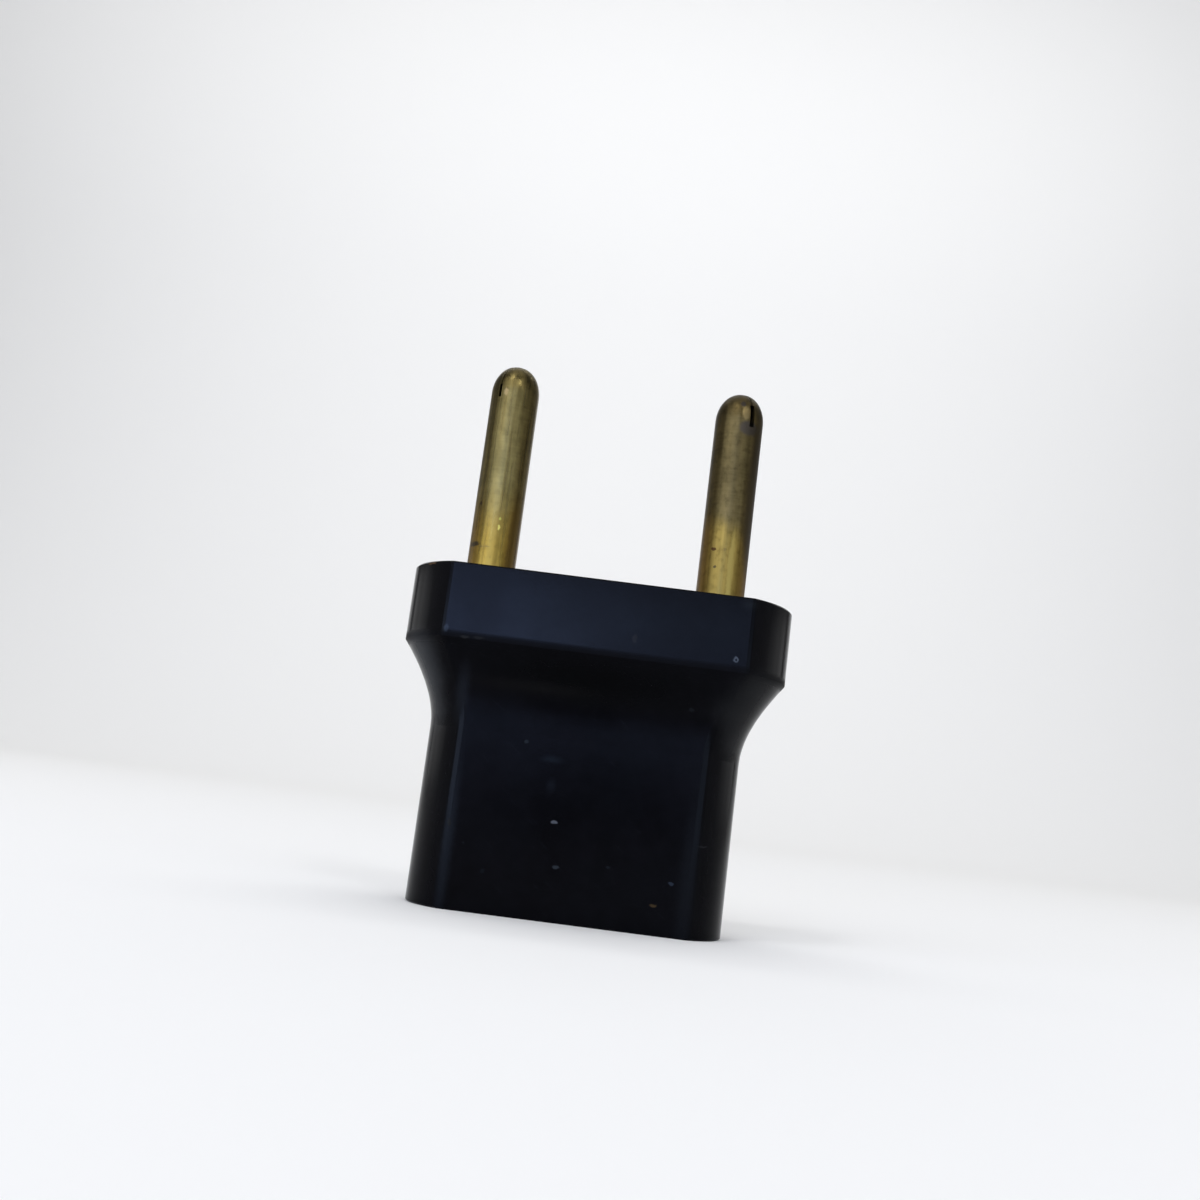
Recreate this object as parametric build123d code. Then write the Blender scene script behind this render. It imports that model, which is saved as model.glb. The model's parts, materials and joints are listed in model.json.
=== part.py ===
from build123d import *
import math
import os

# Two-pole plug adapter. A moulded housing carries two round split pins on top, and takes a plug with
# two flat blades from below. It stands on its socket face: +Z runs along the pins, X passes through
# both pins, and the origin is the middle of the socket face. All sizes are in millimetres.

# Standard plug sizes that the adapter joins
pin_spacing = 19.0
pin_diameter = 4.0
pin_length = 18.2
blade_spacing = 12.7
blade_width = 6.35
blade_thickness = 1.5

# Housing outside
body_height = 26.3
flange_height = 5.9
flange_end_overhang = 3.0
flange_front_overhang = 1.22
flange_end_bulge = 3.7
flange_edge_radius = 0.7
neck_height = 6.7
neck_slope = 37.0
neck_face_power = 3.5
neck_rings = 4
grip_end_bulge = 3.0
grip_edge_radius = 1.2
rim_chamfer = 0.12

# Housing inside
wall = 1.3
top_wall = 5.6
partition = 1.2
core_roof = 8.0

# Socket plate that closes the bottom
plate_thickness = 2.0
plate_seat = 0.4
plate_clearance = 0.05
plate_boss_height = 1.5
slot_play = 0.25
slot_lead_in = 0.4

# Contacts of folded strip
strip = 0.5
grip_gap = 1.4
blade_play = 0.2
contact_clearance = 0.1
contact_gap = 0.3
spring_room = 0.65
sleeve_length = 11.0
sleeve_mouth = 3.0
tab_margin = 0.15
strip_bend = 0.3

# Hollow pins, split at the tip and riveted through the tab
pin_wall = 0.8
pin_step = 0.2
pin_tip_height = 2.4
pin_tip_flat = 0.5
pin_crown = 1.4
pin_fit = 0.03
tail_diameter = 2.2
rivet_overhang = 0.35
rivet_height = 0.5
split_angle = {"left": 34.0, "right": 27.0}
split_depth = 3.1
split_height = {"left": 1.1, "right": 1.9}
split_width = {"left": 0.26, "right": 0.4}
seam_width = 0.08

# Places worked out from the sizes above
pin_x = pin_spacing / 2
blade_x = blade_spacing / 2
flange_bottom = body_height - flange_height
neck_bottom = flange_bottom - neck_height
chamber_top = body_height - top_wall
pin_tip = body_height + pin_length
seat_radius = pin_diameter / 2 - pin_step
tail_radius = tail_diameter / 2
rivet_radius = tail_radius + rivet_overhang
tab_width = 2 * (rivet_radius + tab_margin)
sleeve_width = blade_width + 2 * (blade_play + strip)
sleeve_depth = grip_gap + 2 * strip
chamber_start = blade_x - sleeve_depth / 2 - spring_room
sleeve_bottom = plate_thickness + plate_boss_height + contact_gap
SIDES = {"left": -1, "right": 1}


class Section:
    """A level outline with two flat faces and two ends that are arcs, centred on the Z axis."""

    def __init__(self, width, thickness, end_bulge, edge_radius=0.0):
        self.width = width
        self.thickness = thickness
        self.end_bulge = end_bulge
        self.edge_radius = edge_radius

    def inset(self, distance):
        """The same outline drawn in by a distance, with its arcs on the same centres and sharp corners."""
        half = self.thickness / 2
        radius = (self.end_bulge**2 + half**2) / (2 * self.end_bulge) - distance
        bulge = radius - math.sqrt(radius**2 - (half - distance) ** 2)
        return Section(self.width - 2 * distance, self.thickness - 2 * distance, bulge)

    def towards(self, other, end_share, face_share):
        """An outline between this and another one, its ends and its faces each a share of the way."""
        return Section(
            self.width + end_share * (other.width - self.width),
            self.thickness + face_share * (other.thickness - self.thickness),
            self.end_bulge + end_share * (other.end_bulge - self.end_bulge),
            self.edge_radius + end_share * (other.edge_radius - self.edge_radius),
        )

    def face(self):
        """The outline as a face on the XY plane, with its four corners rounded."""
        half_face = self.width / 2 - self.end_bulge
        half = self.thickness / 2
        front = Line((-half_face, -half), (half_face, -half))
        right = ThreePointArc(front @ 1, (self.width / 2, 0), (half_face, half))
        back = Line(right @ 1, (-half_face, half))
        left = ThreePointArc(back @ 1, (-self.width / 2, 0), front @ 0)
        outline = make_face([front, right, back, left])
        if self.edge_radius:
            outline = fillet(outline.vertices(), self.edge_radius)
        return outline


grip = Section(
    pin_spacing + tab_width + 2 * (contact_clearance + wall),
    sleeve_width + 2 * (contact_clearance + wall),
    grip_end_bulge,
    grip_edge_radius,
)
flange = Section(
    grip.width + 2 * flange_end_overhang,
    grip.thickness + 2 * flange_front_overhang,
    flange_end_bulge,
    flange_edge_radius,
)


def neck_outline(rise):
    """The outline at a share of the neck's rise: upright at the grip and sloped at the flange."""
    end_slope = math.tan(math.radians(neck_slope)) * neck_height / flange_end_overhang
    end_share = rise**2 * (3 - end_slope) + rise**3 * (end_slope - 2)
    return grip.towards(flange, end_share, rise**neck_face_power)


def chamber_plan(inset):
    """The plan of both contact chambers, each drawn in by an inset from the chamber walls."""
    inside = grip.inset(wall + inset).face()
    web = Rectangle(2 * (chamber_start + inset), grip.thickness)
    return inside - web


def outer_body():
    """Grip, neck and flange as one solid, with its upright edges rounded and its rims chamfered."""
    rises = [ring / neck_rings for ring in range(neck_rings + 1)]
    neck = loft([Pos(0, 0, neck_bottom + rise * neck_height) * neck_outline(rise).face() for rise in rises])
    body = extrude(grip.face(), neck_bottom)
    body += neck
    body += Pos(0, 0, flange_bottom) * extrude(flange.face(), flange_height)
    body = chamfer(body.edges().group_by(Axis.Z)[-1], rim_chamfer)
    return chamfer(body.edges().group_by(Axis.Z)[0], rim_chamfer)


def make_housing():
    """The moulded shell: chambers and a core from below, and a hole through the top wall for each pin."""
    body = outer_body()
    body -= extrude(grip.inset(wall - plate_seat).face(), plate_thickness)
    body -= extrude(chamber_plan(0), chamber_top)
    core_width = 2 * (chamber_start - partition)
    body -= extrude(Rectangle(core_width, grip.thickness - 2 * wall), body_height - core_roof)
    for side in SIDES.values():
        body -= Pos(side * pin_x, 0, chamber_top) * extrude(Circle(seat_radius + pin_fit), top_wall)
    return body


def make_socket_plate():
    """The plate that closes the bottom, with a boss into each chamber and a slot for each blade."""
    plate = extrude(grip.inset(wall - plate_seat + plate_clearance).face(), plate_thickness)
    plate += extrude(chamber_plan(plate_clearance), plate_thickness + plate_boss_height)
    slot = Rectangle(blade_thickness + 2 * slot_play, blade_width + 2 * slot_play)
    for side in SIDES.values():
        plate -= Pos(side * blade_x, 0, 0) * extrude(slot, plate_thickness + plate_boss_height)
    mouths = plate.faces().sort_by(Axis.Z)[0].inner_wires().edges()
    return chamfer(mouths, slot_lead_in)


def make_contact(side):
    """One folded strip: a tab under its pin, a riser, and a sleeve whose curled edges grip the blade."""
    riser_x = blade_x - sleeve_depth / 2
    sleeve = SlotOverall(sleeve_width, sleeve_depth, rotation=90)
    sleeve -= SlotOverall(sleeve_width - 2 * strip, grip_gap, rotation=90)
    sleeve -= Pos(sleeve_depth / 2, 0) * Rectangle(sleeve_depth, sleeve_mouth)
    contact = Pos(blade_x, 0, sleeve_bottom) * extrude(sleeve, sleeve_length)

    fold = Polyline(
        (riser_x, sleeve_bottom),
        (riser_x, chamber_top),
        (pin_x, chamber_top),
        (pin_x, chamber_top - strip),
        (riser_x + strip, chamber_top - strip),
        (riser_x + strip, sleeve_bottom),
        close=True,
    )
    profile = make_face(fold)
    outside = profile.vertices().sort_by_distance((riser_x, chamber_top))[0]
    profile = fillet(outside, strip + strip_bend)
    inside = profile.vertices().sort_by_distance((riser_x + strip, chamber_top - strip))[0]
    profile = fillet(inside, strip_bend)
    contact += extrude(Plane.XZ * profile, tab_width / 2, both=True)

    tab_end = Pos(pin_x, 0, chamber_top - strip) * extrude(Circle(tab_width / 2), strip)
    hole = Pos(pin_x, 0, chamber_top - strip) * extrude(Circle(tail_radius + pin_fit), strip)
    contact = contact + tab_end - hole
    return contact if side > 0 else mirror(contact, Plane.YZ)


def make_pin(name):
    """A hollow pin with a domed, split tip, a step on the flange, and a solid tail riveted over the tab."""
    radius = pin_diameter / 2
    bore = radius - pin_wall
    dome_base = pin_tip - pin_tip_height
    bore_bottom = chamber_top + pin_wall
    bore_top = pin_tip - pin_crown
    tab_bottom = chamber_top - strip
    rivet_bottom = tab_bottom - rivet_height
    flat = pin_tip_flat / 2
    dome = EllipticalCenterArc((flat, dome_base), radius - flat, pin_tip_height)
    outside = Polyline(
        (0, rivet_bottom),
        (rivet_radius, rivet_bottom),
        (rivet_radius, tab_bottom),
        (tail_radius, tab_bottom),
        (tail_radius, chamber_top),
        (seat_radius, chamber_top),
        (seat_radius, body_height),
        (radius, body_height),
        dome @ 0,
    )
    inside = Polyline(
        dome @ 1,
        (0, pin_tip),
        (0, bore_top),
        (bore, bore_top),
        (bore, bore_bottom),
        (0, bore_bottom),
        (0, rivet_bottom),
    )
    pin = revolve(Plane.XZ * make_face([outside, dome, inside]), Axis.Z)

    upwards = (Align.CENTER, Align.CENTER, Align.MIN)
    split = Box(pin_diameter, split_width[name], split_height[name], align=upwards)
    seam = Box(pin_diameter, seam_width, split_depth, align=upwards)
    turn = Rot(0, 0, SIDES[name] * (split_angle[name] - 90))
    pin -= Pos(0, 0, pin_tip - split_depth) * turn * (split + seam)
    return Pos(SIDES[name] * pin_x, 0, 0) * pin


os.makedirs("parts", exist_ok=True)
export_step(make_housing(), "parts/housing.step")
export_step(make_socket_plate(), "parts/socket_plate.step")
for name, side in SIDES.items():
    export_step(make_contact(side), f"parts/{name}_contact.step")
    export_step(make_pin(name), f"parts/{name}_pin.step")
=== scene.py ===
"""Looks of the plug adapter: worn black plastic, tarnished brass pins and a pale studio sweep."""
import json
import math

import bpy
from mathutils import Matrix, Vector


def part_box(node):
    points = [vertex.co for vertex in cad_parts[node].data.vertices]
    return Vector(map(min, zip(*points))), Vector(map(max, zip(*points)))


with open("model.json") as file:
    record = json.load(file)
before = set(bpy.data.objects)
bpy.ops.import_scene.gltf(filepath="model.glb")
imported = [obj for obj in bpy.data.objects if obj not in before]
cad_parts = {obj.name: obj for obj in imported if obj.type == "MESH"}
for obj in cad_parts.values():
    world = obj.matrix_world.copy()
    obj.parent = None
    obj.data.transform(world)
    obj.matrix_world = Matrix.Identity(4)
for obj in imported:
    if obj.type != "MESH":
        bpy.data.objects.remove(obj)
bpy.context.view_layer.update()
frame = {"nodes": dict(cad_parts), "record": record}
nodes = frame["nodes"]

# Places on the part in millimetres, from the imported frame
MM = 1000
mounts = {mount["name"]: Vector(mount["pos_m"]) * MM for mount in frame["record"]["mounts"]}
pin_x = {"left": mounts["left_pin"].x, "right": mounts["right_pin"].x}
pin_base = mounts["flange_face"].z
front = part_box("housing")[0].y * MM
pin_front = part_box("left_pin")[0].y * MM

# Camera that the photo was fitted with, in millimetres and degrees
camera_eye = Vector((1.31, -105.05, 8.32))
camera_yaw = 0.843
camera_pitch = 9.402
camera_roll = 7.292
camera_lens = 38.85
camera_clip_start = 5

# How far back from its place a mark reaches, how ragged marks are, and how fine their raggedness is
mark_depth = 4.0
mark_raggedness = 0.3
mark_raggedness_per_mm = 2.5


class Shader:
    """A material's node tree, with short calls for the nodes that the finishes are made of."""

    def __init__(self, name):
        self.material = bpy.data.materials.new(name)
        self.material.use_nodes = True
        self.tree = self.material.node_tree
        self.surface = self.tree.nodes["Principled BSDF"]
        place = self.node("ShaderNodeTexCoord").outputs["Object"]
        self.mm = self.scaled(place, (MM, MM, MM))

    def node(self, kind, inputs=(), **settings):
        """A new node with its settings, and values or links for its numbered or named inputs."""
        made = self.tree.nodes.new(kind)
        for name, value in settings.items():
            setattr(made, name, value)
        for socket, value in dict(inputs).items():
            self.feed(made.inputs[socket], value)
        return made

    def feed(self, socket, value):
        """Links an output to a socket, or sets the socket's own value."""
        if isinstance(value, bpy.types.NodeSocket):
            self.tree.links.new(value, socket)
        else:
            socket.default_value = value

    def calc(self, operation, *values):
        """The result of an operation on numbers."""
        return self.node("ShaderNodeMath", enumerate(values), operation=operation).outputs[0]

    def scaled(self, vector, factors):
        """A vector times one factor for each axis."""
        made = self.node("ShaderNodeVectorMath", {0: vector, 1: factors}, operation="MULTIPLY")
        return made.outputs[0]

    def moved(self, vector, offset):
        """A vector as seen from an offset."""
        made = self.node("ShaderNodeVectorMath", {0: vector, 1: offset}, operation="SUBTRACT")
        return made.outputs[0]

    def axis(self, name):
        """One coordinate in millimetres."""
        return self.node("ShaderNodeSeparateXYZ", {0: self.mm}).outputs[name]

    def noise(self, per_mm, detail, seed=0.0, turn=0.0):
        """Noise from 0 to 1, so many features per millimetre along X, Y and Z, turned about Y in degrees."""
        inputs = {"Vector": self.mm, "Angle": math.radians(turn)}
        turned = self.node("ShaderNodeVectorRotate", inputs, rotation_type="Y_AXIS").outputs[0]
        where = self.moved(self.scaled(turned, per_mm), (seed, seed, seed))
        inputs = {"Vector": where, "Scale": 1.0, "Detail": detail}
        return self.node("ShaderNodeTexNoise", inputs).outputs["Fac"]

    def ramp(self, value, low, high, start=0.0, end=1.0):
        """A smooth step from start to end as the value goes from low to high."""
        inputs = {"Value": value, "From Min": low, "From Max": high, "To Min": start, "To Max": end}
        return self.node("ShaderNodeMapRange", inputs, interpolation_type="SMOOTHSTEP").outputs[0]

    def spot(self, where, centre, radii, edge):
        """1 inside an ellipsoid round a place in millimetres, fading to 0 over its outer share."""
        local = self.scaled(self.moved(where, centre), [1 / radius for radius in radii])
        length = self.node("ShaderNodeVectorMath", {0: local}, operation="LENGTH").outputs["Value"]
        return self.ramp(length, 1.0, 1.0 - edge)

    def mix(self, share, first, second):
        """Colour that goes from the first to the second with the share."""
        made = self.node("ShaderNodeMix", data_type="RGBA")
        colours = [socket for socket in made.inputs if socket.type == "RGBA"]
        self.feed(made.inputs[0], share)
        for socket, colour in zip(colours, (first, second)):
            self.feed(socket, colour if isinstance(colour, bpy.types.NodeSocket) else (*colour, 1))
        return next(socket for socket in made.outputs if socket.type == "RGBA")

    def shaded(self, value, colour, low, high):
        """A colour that varies from a low to a high share of itself with a value from 0 to 1."""
        darkest, lightest = ([channel * share for channel in colour] for share in (low, high))
        return self.mix(value, darkest, lightest)

    def darkened(self, colour, share):
        """A colour that loses a share of itself."""
        return self.mix(share, colour, (0, 0, 0))

    def dots(self, per_mm, radius_mm, rarity):
        """1 in small round dots, of which the rarity is left out."""
        inputs = {"Vector": self.mm, "Scale": per_mm}
        cells = self.node("ShaderNodeTexVoronoi", inputs)
        inside = self.ramp(cells.outputs["Distance"], radius_mm * per_mm, 0.5 * radius_mm * per_mm)
        chance = self.node("ShaderNodeSeparateColor", {0: cells.outputs["Color"]}).outputs[0]
        return self.calc("MULTIPLY", inside, self.ramp(chance, rarity, 1.0))

    def marked(self, colour, marks, place, base=0.0, softness=0.45):
        """Lays ragged marks over a colour, each set off from the place in X and from the base in Z."""
        inputs = {"Vector": self.mm, "Scale": mark_raggedness_per_mm, "Detail": 2.0}
        wobble = self.moved(self.node("ShaderNodeTexNoise", inputs).outputs["Color"], (0.5, 0.5, 0.5))
        where = self.moved(self.mm, self.scaled(wobble, [mark_raggedness] * 3))
        for (across, up), (half_width, half_height), paint in dict(marks).values():
            centre = (place[0] + across, place[1], base + up)
            share = self.spot(where, centre, (half_width, mark_depth, half_height), softness)
            colour = self.mix(share, colour, paint)
        return colour

    def bump(self, height, distance_mm):
        """Feeds a height from 0 to 1 to the surface's normal, as deep as the distance."""
        inputs = {"Height": height, "Distance": distance_mm / MM, "Strength": 1.0}
        self.feed(self.surface.inputs["Normal"], self.node("ShaderNodeBump", inputs).outputs[0])


# Soft painted shade, painted highlights and smudges, and crisp marks, on the housing's front:
# place across and up, half width and height, and colour
housing_painted_light_and_smudges = {
    # Painted shade that darkens the neck
    "painted_neck_shade": ((0.0, 18.2), (14.0, 3.2), (0.0002, 0.0002, 0.0002)),
    "right_corner_rub": ((11.4, 25.75), (1.0, 0.7), (0.0045, 0.005, 0.0055)),
    "neck_streak": ((-4.3, 17.4), (7.0, 0.8), (0.0027, 0.0025, 0.0025)),
    "level_smudge": ((-2.25, 12.11), (1.3, 0.45), (0.005, 0.0068, 0.0095)),
    "upright_smudge": ((-2.06, 10.11), (0.55, 0.85), (0.0048, 0.0056, 0.0078)),
    # Painted highlights down the grip's two front edges and the neck's left edge
    "painted_left_edge_highlight": ((-9.3, 5.0), (0.75, 10.0), (0.0075, 0.0092, 0.0125)),
    "painted_left_neck_edge_highlight": ((-9.8, 16.2), (0.9, 3.4), (0.007, 0.008, 0.0105)),
    "painted_right_edge_highlight": ((9.1, 4.0), (1.1, 10.0), (0.0045, 0.0052, 0.0068)),
}
housing_marks = {
    "dot_on_flange": ((10.75, 21.33), (0.27, 0.27), (0.045, 0.053, 0.066)),
    "dot_middle": ((10.75, 21.33), (0.13, 0.13), (0.004, 0.004, 0.006)),
    "rub_on_flange": ((2.9, 22.0), (0.24, 0.42), (0.007, 0.0064, 0.0066)),
    "corner_nick": ((-11.58, 21.02), (0.24, 0.38), (0.013, 0.016, 0.022)),
    "edge_wear": ((-10.1, 20.5), (0.4, 0.15), (0.009, 0.009, 0.009)),
    "edge_wear_inner": ((-9.0, 20.55), (0.5, 0.12), (0.007, 0.007, 0.007)),
    "top_edge_chip": ((-13.6, 26.15), (0.4, 0.18), (0.05, 0.028, 0.014)),
    "neck_spot": ((7.92, 17.21), (0.26, 0.22), (0.0045, 0.005, 0.006)),
    "faint_ring": ((-4.38, 13.21), (0.2, 0.2), (0.009, 0.011, 0.013)),
    "bright_speck": ((-1.46, 7.42), (0.36, 0.19), (0.055, 0.06, 0.07)),
    "low_speck": ((-0.92, 4.13), (0.3, 0.18), (0.016, 0.019, 0.023)),
    "faint_speck": ((3.05, 4.6), (0.22, 0.13), (0.006, 0.007, 0.009)),
    "blue_speck": ((7.87, 3.99), (0.29, 0.15), (0.014, 0.018, 0.026)),
    "tan_speck": ((6.71, 2.24), (0.36, 0.17), (0.032, 0.021, 0.01)),
    "left_speck": ((-6.39, 3.16), (0.22, 0.22), (0.004, 0.005, 0.0065)),
    "edge_scratch": ((9.98, 7.01), (0.5, 0.09), (0.009, 0.009, 0.01)),
    "left_edge_rub": ((-9.38, 6.45), (0.2, 0.4), (0.008, 0.008, 0.008)),
}

# Painted reflections that lighten the neck's ends, in the same terms, and their place in depth
painted_neck_end_reflections = {
    "left_upper": ((-14.0, 19.1), (2.7, 2.6), (0.025, 0.0262, 0.028)),
    "left_middle": ((-13.1, 17.0), (2.3, 2.6), (0.025, 0.0262, 0.028)),
    "left_lower": ((-12.5, 14.8), (2.0, 2.4), (0.023, 0.024, 0.0255)),
    "right_upper": ((12.4, 19.4), (2.9, 2.4), (0.0105, 0.0107, 0.011)),
    "right_middle": ((11.5, 17.4), (3.0, 2.4), (0.01, 0.0102, 0.0105)),
    "right_lower": ((11.7, 15.2), (1.9, 2.2), (0.0095, 0.0097, 0.01)),
}
neck_end_place = -4.0

# Height of the flange's lower edge, how far the plastic is rubbed dull above and below it, and how dull
flange_edge = 20.4
dull_edge = 0.9
dull_roughness = 0.5

# Noises in the finishes: features per millimetre along X, Y and Z, their detail, a seed where one has to
# differ from the others, and a slant in degrees
noises = {
    "haze": ((0.16, 0.16, 0.16), 4.0),
    "tint": ((0.28, 0.28, 0.28), 5.0, 40.0),
    "mottle": ((0.9, 0.9, 0.9), 5.0, 60.0),
    "scratches": ((0.5, 0.5, 6.0), 1.0, 7.0, -38),
    "grain": ((7.0, 7.0, 7.0), 2.0),
    "streaks": ((2.6, 2.6, 0.1), 3.0),
    "flecks": ((2.4, 2.4, 2.0), 4.0, 33.0),
    "rings": ((0.5, 0.5, 5.0), 3.0, 12.0),
    "blotches": ((0.9, 0.9, 0.6), 4.0, 25.0),
    "rolled_lines": ((6.0, 6.0, 0.3), 2.0),
}

# Values of a noise between which it takes effect, and those between which it dulls a surface
spans = {
    "mottle": (0.3, 0.75),
    "scratches": (0.72, 0.8),
    "streaks": (0.25, 0.75),
    "flecks": (0.25, 0.55),
    "rings": (0.3, 0.7),
    "blotches": (0.3, 0.65),
}
gloss_span = (0.3, 0.7)

# Black plastic: a dark and a light shade, each with a blue and a violet cast, its dust and its gloss
plastic_dark = ((0.0009, 0.0009, 0.0011), (0.0011, 0.0009, 0.0012))
plastic_light = ((0.0017, 0.0019, 0.0025), (0.0021, 0.0017, 0.0024))
plastic_dust = (0.006, 0.0065, 0.008)
plastic_specular = 0.035
plastic_specular_tint = (0.84, 0.9, 1.0, 1)
plastic_roughness = (0.12, 0.17)
dust_roughness = 0.2

# How strong the plastic's mottle and hair scratches are, and how deep its grain is in millimetres
mottle_strength = 0.6
scratch_strength = 0.3
grain_depth = 0.002

# Brass of each pin: bright and tarnished colours, a browner colour towards its sides, how dark its flecks
# are, heights over the flange where the tarnish starts and is full, how far that border drops per millimetre
# to the right, its least and greatest roughness, and its marks with painted glints, highlight and shade, from
# its middle and from the flange
pin_looks = {
    "left": {
        "gold": (0.21, 0.138, 0.028),
        "tarnish": (0.178, 0.14, 0.052),
        "side": (0.15, 0.092, 0.024),
        "flecks": 0.2,
        "border": (2.4, 8.2),
        "drop": 0.0,
        "roughness": (0.27, 0.36),
        "marks": {
            # Painted shade that darkens the pin's right flank
            "painted_flank_shade": ((1.6, 2.2), (0.5, 5.5), (0.13, 0.085, 0.022)),
            "dark_speck": ((-1.4, 5.96), (0.15, 0.22), (0.045, 0.03, 0.014)),
            "base_stain": ((-1.45, 2.5), (0.5, 0.28), (0.05, 0.037, 0.02)),
            "base_line": ((-0.6, 2.28), (0.6, 0.09), (0.12, 0.08, 0.025)),
            "upper_glint": ((0.38, 4.7), (0.13, 0.17), (0.36, 0.33, 0.07)),
            "lower_glint": ((0.37, 4.0), (0.13, 0.25), (0.5, 0.42, 0.1)),
            "bare_patch": ((-0.6, 15.5), (0.2, 0.36), (0.24, 0.18, 0.085)),
        },
    },
    "right": {
        "gold": (0.185, 0.128, 0.032),
        "tarnish": (0.11, 0.082, 0.033),
        "side": (0.165, 0.095, 0.024),
        "flecks": 0.28,
        "border": (5.2, 7.6),
        "drop": 0.35,
        "roughness": (0.34, 0.44),
        "marks": {
            # Painted shade that darkens the pin's right side
            "painted_right_side_shade": ((2.1, 9.5), (1.35, 9.5), (0.052, 0.039, 0.019)),
            # Painted highlight that widens the pin's bright band to the right
            "painted_highlight_streak": ((0.45, 2.8), (0.32, 4.2), (0.27, 0.195, 0.052)),
            "red_speck": ((-1.03, 4.48), (0.28, 0.15), (0.06, 0.03, 0.012)),
            "low_speck": ((-0.8, 2.98), (0.14, 0.14), (0.06, 0.045, 0.02)),
            "middle_speck": ((-0.16, 4.5), (0.1, 0.14), (0.12, 0.08, 0.025)),
            "bare_patch": ((0.35, 16.25), (0.42, 0.7), (0.17, 0.128, 0.056)),
            "grey_stain": ((0.7, 14.95), (0.95, 0.8), (0.055, 0.045, 0.034)),
            "tip_stain": ((0.07, 17.0), (0.28, 0.34), (0.055, 0.046, 0.036)),
        },
    },
}

# Where a pin turns browner and darker towards its sides, from start to full, in millimetres from its middle,
# how strong that is, and how deep the lines drawn along the pin are
pin_darker_sides = (0.9, 1.9)
pin_side_strength = 0.75
pin_relief = 0.006

# Shares of their colour between which a pin's gold and tarnish are streaked, shares that rings and blotches
# take from the tarnish, how ragged its border is in millimetres, and the rings' share of the relief
gold_streaks = (0.65, 1.3)
tarnish_streaks = (0.85, 1.15)
ring_darkness = 0.14
blotch_darkness = 0.25
border_raggedness = 1.6
ring_relief = 0.4

# Rolled strip of the contacts: its darker and lighter lines, and its least and greatest roughness
contact_lines = ((0.6, 0.42, 0.13), (0.72, 0.53, 0.2))
contact_roughness = (0.25, 0.35)


def plastic(name, painted_light_and_smudges=(), painted_reflections=(), marks=()):
    """Blue-black satin plastic with haze, fine grain, dust and hair scratches, its own wear and smudges, and
    painted highlights, shade and reflections.
    """
    shader = Shader(name)
    haze = shader.noise(*noises["haze"])
    tint = shader.noise(*noises["tint"])
    mottle = shader.ramp(shader.noise(*noises["mottle"]), *spans["mottle"])
    dark = shader.mix(tint, *plastic_dark)
    light = shader.mix(tint, *plastic_light)
    colour = shader.mix(shader.calc("MULTIPLY_ADD", mottle, mottle_strength, haze), dark, light)
    lines = shader.noise(*noises["scratches"])
    scratches = shader.ramp(lines, *spans["scratches"], 0.0, scratch_strength)
    dust = shader.dots(per_mm=0.75, radius_mm=0.1, rarity=0.72)
    film = shader.calc("MAXIMUM", scratches, dust)
    colour = shader.mix(film, colour, plastic_dust)
    # Painted shade and highlights, and smudges, on the housing's front
    colour = shader.marked(colour, painted_light_and_smudges, (0.0, front), softness=1.0)
    # Painted reflections that lighten the neck's ends
    colour = shader.marked(colour, painted_reflections, (0.0, neck_end_place), softness=1.0)
    colour = shader.marked(colour, marks, (0.0, front))
    shader.feed(shader.surface.inputs["Base Color"], colour)
    gloss = shader.ramp(haze, *gloss_span, *plastic_roughness)
    roughness = shader.calc("MULTIPLY_ADD", film, dust_roughness, gloss)
    from_edge = shader.calc("ABSOLUTE", shader.calc("SUBTRACT", shader.axis("Z"), flange_edge))
    dull = shader.ramp(from_edge, 0.0, dull_edge, dull_roughness, 0.0)
    shader.feed(shader.surface.inputs["Roughness"], shader.calc("MAXIMUM", roughness, dull))
    shader.surface.inputs["Specular IOR Level"].default_value = plastic_specular
    shader.surface.inputs["Specular Tint"].default_value = plastic_specular_tint
    shader.bump(shader.noise(*noises["grain"]), grain_depth)
    return shader.material


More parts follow.
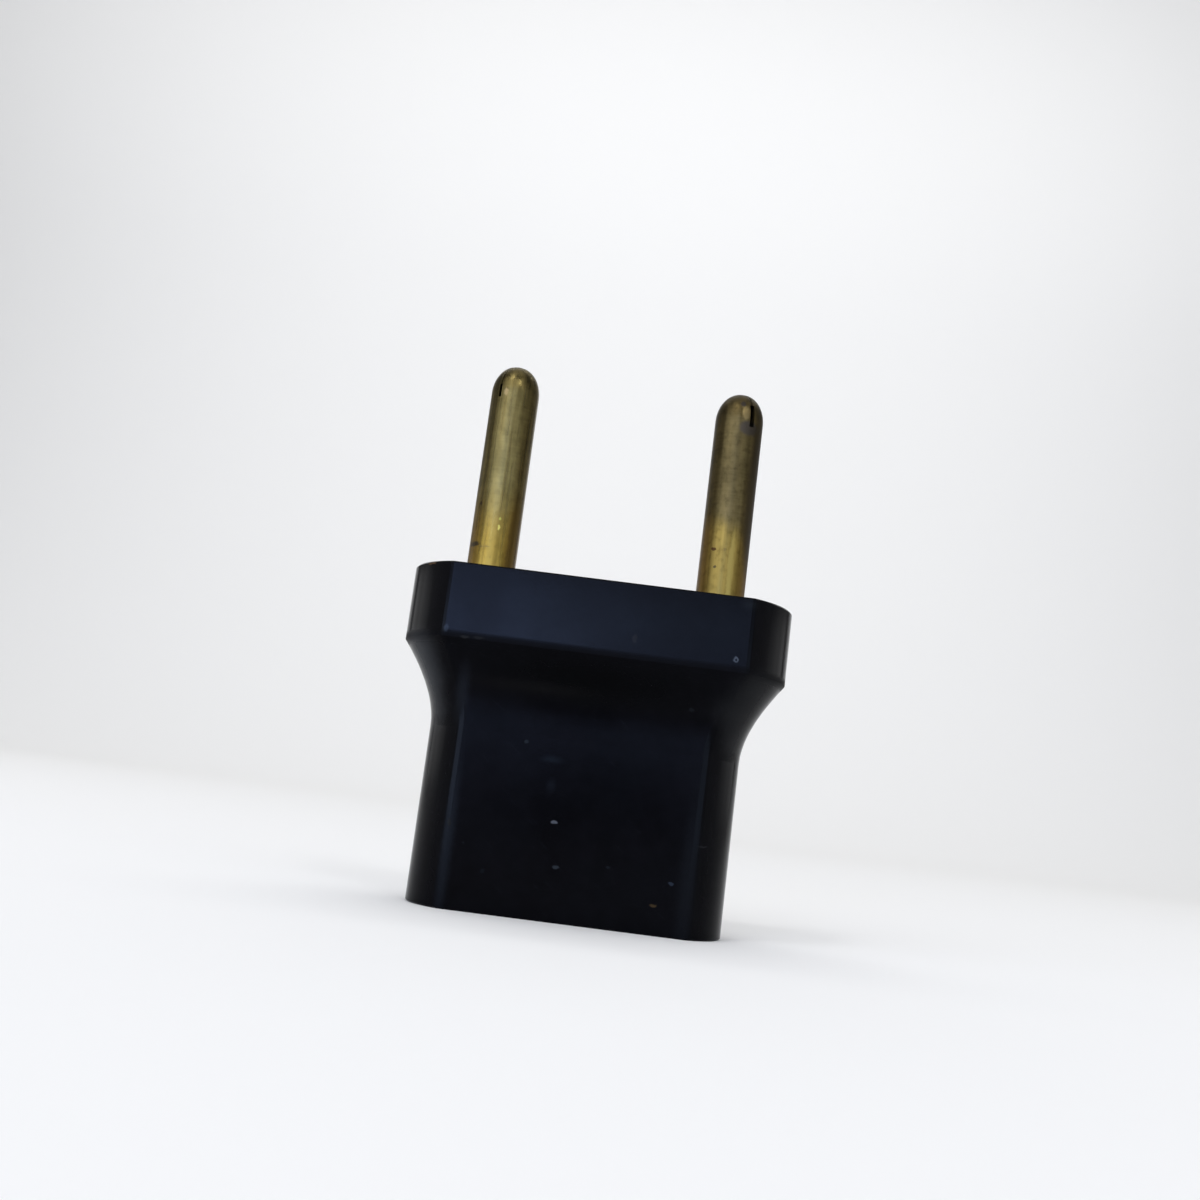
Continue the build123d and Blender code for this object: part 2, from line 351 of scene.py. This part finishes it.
def pin_brass(side):
    """Brass that is bright at the flange and tarnished towards the tip, drawn lengthwise and turned above."""
    look = pin_looks[side]
    shader = Shader(f"pin_brass_{side}")
    streaks = shader.ramp(shader.noise(*noises["streaks"]), *spans["streaks"])
    flecks = shader.noise(*noises["flecks"])
    rings = shader.noise(*noises["rings"])
    blotches = shader.noise(*noises["blotches"])
    across = shader.calc("SUBTRACT", shader.axis("X"), pin_x[side])
    height = shader.calc("SUBTRACT", shader.axis("Z"), pin_base)
    level = shader.calc("MULTIPLY_ADD", across, look["drop"], height)
    lowest = shader.calc("SUBTRACT", level, border_raggedness / 2)
    level = shader.calc("MULTIPLY_ADD", blotches, border_raggedness, lowest)
    patina = shader.ramp(level, *look["border"])
    gold = shader.shaded(streaks, look["gold"], *gold_streaks)
    aside = shader.ramp(shader.calc("ABSOLUTE", across), *pin_darker_sides)
    gold = shader.mix(shader.calc("MULTIPLY", aside, pin_side_strength), gold, look["side"])
    tarnish = shader.shaded(streaks, look["tarnish"], *tarnish_streaks)
    tarnish = shader.darkened(tarnish, shader.ramp(rings, *spans["rings"], ring_darkness, 0.0))
    tarnish = shader.darkened(tarnish, shader.ramp(blotches, *spans["blotches"], blotch_darkness, 0.0))
    colour = shader.mix(patina, gold, tarnish)
    colour = shader.darkened(colour, shader.ramp(flecks, *spans["flecks"], look["flecks"], 0.0))
    colour = shader.marked(colour, look["marks"], (pin_x[side], pin_front), pin_base)
    shader.feed(shader.surface.inputs["Base Color"], colour)
    shader.surface.inputs["Metallic"].default_value = 1.0
    shader.feed(shader.surface.inputs["Roughness"], shader.ramp(streaks, *gloss_span, *look["roughness"]))
    relief = shader.calc("MULTIPLY_ADD", shader.calc("MULTIPLY", rings, patina), ring_relief, streaks)
    shader.bump(relief, pin_relief)
    return shader.material


def contact_brass():
    """Bright rolled brass strip."""
    shader = Shader("contact_brass")
    lines = shader.noise(*noises["rolled_lines"])
    shader.feed(shader.surface.inputs["Base Color"], shader.mix(lines, *contact_lines))
    shader.surface.inputs["Metallic"].default_value = 1.0
    shader.feed(shader.surface.inputs["Roughness"], shader.ramp(lines, *gloss_span, *contact_roughness))
    return shader.material


def dress(node, material):
    """Gives a CAD node its material."""
    nodes[node].data.materials.clear()
    nodes[node].data.materials.append(material)


dress("housing", plastic("black_plastic", housing_painted_light_and_smudges, painted_neck_end_reflections, housing_marks))
dress("socket_plate", plastic("plate_plastic"))
for side in pin_x:
    dress(f"{side}_pin", pin_brass(side))
    dress(f"{side}_contact", contact_brass())

# Studio sweep in metres: pale paper that fades to grey behind the camera and curves up into a wall
sweep_half_width = 1.6
sweep_front = -0.45
sweep_fade = (-0.42, -0.11)
sweep_grey = 0.3
sweep_white = 0.9
sweep_bend = 1.3
sweep_bend_radius = 1.2
sweep_top = 2.6
sweep_steps = 24
sweep_roughness = 0.9


def make_sweep():
    """Pale floor and wall in one sheet."""
    profile = [(sweep_front, 0.0)]
    for step in range(sweep_steps + 1):
        turn = math.radians(90) * step / sweep_steps
        profile.append(
            (sweep_bend + sweep_bend_radius * math.sin(turn), sweep_bend_radius * (1 - math.cos(turn)))
        )
    profile.append((sweep_bend + sweep_bend_radius, sweep_top))
    points = [(side * sweep_half_width, y, z) for y, z in profile for side in (-1, 1)]
    faces = [(2 * i, 2 * i + 1, 2 * i + 3, 2 * i + 2) for i in range(len(profile) - 1)]
    mesh = bpy.data.meshes.new("sweep")
    mesh.from_pydata(points, [], faces)
    mesh.shade_smooth()
    sweep = bpy.data.objects.new("sweep", mesh)
    bpy.context.scene.collection.objects.link(sweep)
    shader = Shader("sweep_paper")
    greys = [[grey] * 3 for grey in (sweep_grey, sweep_white)]
    fade = shader.ramp(shader.axis("Y"), *[y * MM for y in sweep_fade])
    shader.feed(shader.surface.inputs["Base Color"], shader.mix(fade, *greys))
    shader.surface.inputs["Roughness"].default_value = sweep_roughness
    shader.surface.inputs["Specular IOR Level"].default_value = 0.0
    mesh.materials.append(shader.material)


# Distance of the panels of light from the part, and the place on it that they face, in metres
lamp_distance = 1.0
lamp_target = Vector((0, 0, 0.02))


def make_lamp(name, place, target, size, brightness, colour=(1, 1, 1)):
    """A soft rectangular lamp at a place in metres, turned to a target, that looks as bright as it says."""
    data = bpy.data.lights.new(name, "AREA")
    data.shape = "RECTANGLE"
    data.size, data.size_y = size
    data.energy = math.pi * size[0] * size[1] * brightness
    data.color = colour
    lamp = bpy.data.objects.new(name, data)
    lamp.location = place
    lamp.rotation_euler = (Vector(target) - Vector(place)).to_track_quat("-Z", "Y").to_euler()
    lamp.visible_camera = False
    bpy.context.scene.collection.objects.link(lamp)
    return lamp


def make_panel(name, azimuths, elevations, brightness, colour=(1, 1, 1)):
    """A lamp that fills a window of directions from the part, in degrees: azimuth 0 is the camera's side."""
    azimuth, elevation = (math.radians(sum(pair) / 2) for pair in (azimuths, elevations))
    size = [2 * lamp_distance * math.tan(math.radians(b - a) / 2) for a, b in (azimuths, elevations)]
    level = Vector((math.sin(azimuth), -math.cos(azimuth), 0)) * math.cos(elevation)
    place = lamp_target + lamp_distance * (level + Vector((0, 0, math.sin(elevation))))
    make_lamp(name, place, lamp_target, size, brightness, colour)


# Panels by what mirrors them: azimuths, elevations, brightness, and colour where it isn't white
flange_strips = {
    "strip_left": ((-25, -4), (6.3, 10.5), 18.5, (0.46, 0.6, 1.0)),
    "strip_right": ((-4, 10), (6.3, 10.5), 7.5, (0.47, 0.61, 0.95)),
    "strip_middle": ((-4.5, 2), (6.3, 10.5), 2.8, (0.47, 0.61, 1.0)),
    "strip_core": ((-5.5, 1), (5.8, 8.2), 8.5, (0.47, 0.61, 1.0)),
    "strip_low": ((-25, 10), (2.0, 6.3), 2.6, (0.5, 0.63, 1.0)),
}
grip_panels = {
    "left_soft": ((-20, -5), (-3, 2), 2.0, (0.65, 0.7, 1.0)),
    "right_soft": ((4, 14), (-3, 5), 1.4, (0.65, 0.7, 1.0)),
    "left_low": ((-60, -25), (-3, 9), 8.5, (0.62, 0.74, 1.0)),
    "right_low": ((14, 50), (-3, 9), 4.0, (0.6, 0.75, 1.0)),
    "left_fill": ((-97, -60), (-3, 12), 0.85),
    "right_fill": ((50, 94), (-3, 12), 0.85),
}
pin_windows = {
    "left_window": ((-62, -16), (10.5, 55), 0.75),
    "window_core": ((-44, -18), (10.5, 40), 0.9),
    "front_window": ((-16, 10), (10.5, 55), 0.8),
    "right_window": ((10, 50), (10.5, 55), 0.5),
    "left_spot": ((-36, -28), (51, 59), 16.0),
    "right_spot": ((18, 26), (38, 46), 12.0),
}
end_cards = {
    "left_card": ((-135, -97), (0, 10), 1.05),
    "right_card": ((94, 134), (0, 10), 0.95),
    "left_card_core": ((-119, -99), (0, 10), 0.75),
    "right_card_core": ((97, 117), (0, 10), 0.42),
}

make_sweep()
for panels in (flange_strips, grip_panels, pin_windows, end_cards):
    for name, window in panels.items():
        make_panel(name, *window)
make_lamp("ceiling", place=(0, -0.1, 1.2), target=(0, 0, 0), size=(0.7, 0.7), brightness=0.6)
top_lamp = make_lamp(
    "top_softbox", place=(0, 0.2, 1.1), target=(0, 0.2, 0), size=(1.0, 0.8), brightness=1.5
)
top_lamp.visible_glossy = False
make_lamp("wall_softbox", place=(0, 1.0, 1.9), target=(0, 2.5, 0.7), size=(3.4, 0.7), brightness=4.35)

# Grey room beyond the sweep
room_grey = 0.18
world = bpy.data.worlds.new("room")
world.use_nodes = True
world.node_tree.nodes["Background"].inputs["Color"].default_value = (room_grey, room_grey, room_grey, 1)
bpy.context.scene.world = world


def make_camera():
    """The photo's camera, with its roll."""
    data = bpy.data.cameras.new("camera")
    data.lens = camera_lens
    data.clip_start = camera_clip_start / MM
    camera = bpy.data.objects.new("camera", data)
    turn = Matrix.Rotation(math.radians(camera_yaw), 4, "Z")
    tilt = Matrix.Rotation(math.radians(90 + camera_pitch), 4, "X")
    roll = Matrix.Rotation(math.radians(camera_roll), 4, "Z")
    camera.matrix_world = Matrix.Translation(camera_eye / MM) @ turn @ tilt @ roll
    bpy.context.scene.collection.objects.link(camera)
    bpy.context.scene.camera = camera


make_camera()
bpy.context.scene.view_settings.view_transform = "Standard"
